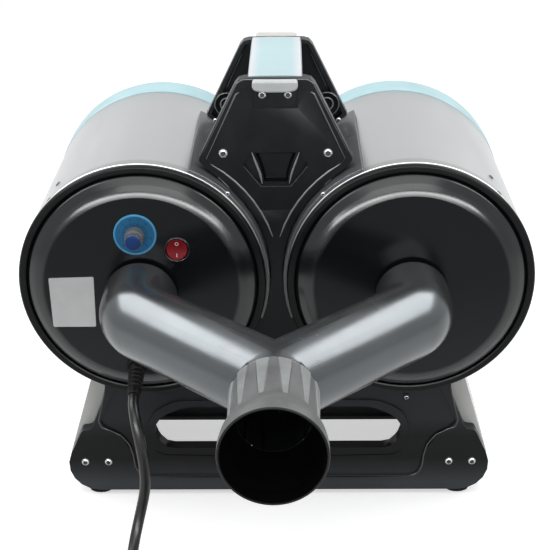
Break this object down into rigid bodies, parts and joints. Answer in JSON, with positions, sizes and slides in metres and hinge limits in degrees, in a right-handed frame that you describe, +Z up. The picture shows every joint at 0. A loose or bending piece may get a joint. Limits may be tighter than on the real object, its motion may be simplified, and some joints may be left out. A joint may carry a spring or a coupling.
{
  "type": "pet grooming dryer",
  "caption": "Grooming dryer with two blower drums side by side in a stand with a carrying handle, joined by a Y-pipe to one outlet coupling, with speed knob, rocker switch and mains cord.",
  "frame": {"origin": "On the surface under the feet, midway between the two drums and midway from the outlet mouth to the rear caps.", "axes": "+Z up. -Y is the front, where the outlet points; the drums lie along Y. +X is to the right when facing the outlet from in front."},
  "size_m": [0.4218, 0.5164, 0.3792],
  "materials": {
    "plate_black": "satin moulded",
    "saddle_grey": "glossy",
    "cover_silver": "satin",
    "grip_grey": "satin",
    "inlay_cyan": "satin",
    "cap_grey": "satin",
    "foot_rubber": "matte",
    "drum_steel": "finely brushed",
    "bezel_black": "satin",
    "dome_black": "glossy",
    "rear_cyan": "semi gloss",
    "filter_foam": "open foam",
    "fan_steel": "pressed",
    "impeller_aluminium": "bare",
    "rotor_steel": "ground",
    "motor_steel": "cast",
    "pipe_gunmetal": "glossy metallic",
    "coupling_grey": "satin",
    "dial_blue": "satin",
    "knob_grey": "satin",
    "control_steel": "bare",
    "switch_black": "glossy",
    "switch_red": "glossy translucent",
    "gland_rubber": "matte",
    "cord_black": "satin",
    "plug_black": "satin",
    "pin_brass": "plated"
  },
  "bodies": {
    "machine": {"front_plate": "plate_black", "rear_plate": "plate_black", "drum_saddle": "saddle_grey", "left_side_cover": "cover_silver", "right_side_cover": "cover_silver", "handle_grip": "grip_grey", "handle_inlay": "inlay_cyan", "handle_front_cap": "cap_grey", "handle_rear_cap": "cap_grey", "foot_front_left": "foot_rubber", "foot_front_right": "foot_rubber", "foot_rear_left": "foot_rubber", "foot_rear_right": "foot_rubber", "left_drum_shell": "drum_steel", "right_drum_shell": "drum_steel", "left_rim_bezel": "bezel_black", "right_rim_bezel": "bezel_black", "left_front_cover": "dome_black", "right_front_cover": "dome_black", "left_fan_case": "fan_steel", "right_fan_case": "fan_steel", "left_motor_frame": "motor_steel", "right_motor_frame": "motor_steel", "dial_plate": "dial_blue", "potentiometer": "control_steel", "rocker_bezel": "switch_black", "cord_gland": "gland_rubber", "mains_cord": "cord_black", "mains_cord_coil": "cord_black", "mains_plug": "plug_black", "plug_pin_left": "pin_brass", "plug_pin_right": "pin_brass"},
    "speed_knob": {"speed_knob": "knob_grey"},
    "rocker": {"rocker_button": "switch_red"},
    "left_fan": {"left_rotor": "rotor_steel", "left_impeller": "impeller_aluminium"},
    "right_fan": {"right_rotor": "rotor_steel", "right_impeller": "impeller_aluminium"},
    "left_cap": {"left_rear_cap": "rear_cyan", "left_intake_filter": "filter_foam"},
    "right_cap": {"right_rear_cap": "rear_cyan", "right_intake_filter": "filter_foam"},
    "pipe": {"y_pipe": "pipe_gunmetal"},
    "coupling": {"outlet_coupling": "coupling_grey"}
  },
  "joints": [
    {"name": "speed_knob_turn", "type": "hinge", "parent": "machine", "child": "speed_knob", "pos_m": [-0.1117, -0.0146, 0.2601], "axis": [0, 1, 0], "range_deg": [-270, 0]},
    {"name": "rocker_tilt", "type": "hinge", "parent": "machine", "child": "rocker", "pos_m": [-0.0788, -0.00585, 0.2477], "axis": [1, 0, 0], "range_deg": [0, 20]},
    {"name": "left_fan_spin", "type": "hinge", "parent": "machine", "child": "left_fan", "pos_m": [-0.109, 0.08, 0.2132], "axis": [0, 1, 0], "continuous": true},
    {"name": "right_fan_spin", "type": "hinge", "parent": "machine", "child": "right_fan", "pos_m": [0.109, 0.08, 0.2132], "axis": [0, 1, 0], "continuous": true},
    {"name": "left_cap_pull", "type": "slide", "parent": "machine", "child": "left_cap", "axis": [0, 1, 0], "range_m": [0, 0.04]},
    {"name": "right_cap_pull", "type": "slide", "parent": "machine", "child": "right_cap", "axis": [0, 1, 0], "range_m": [0, 0.04]},
    {"name": "pipe_pull", "type": "slide", "parent": "machine", "child": "pipe", "axis": [0, -1, 0], "range_m": [0, 0.03]},
    {"name": "coupling_pull", "type": "slide", "parent": "pipe", "child": "coupling", "axis": [0, -1, 0], "range_m": [0, 0.035]}
  ]
}
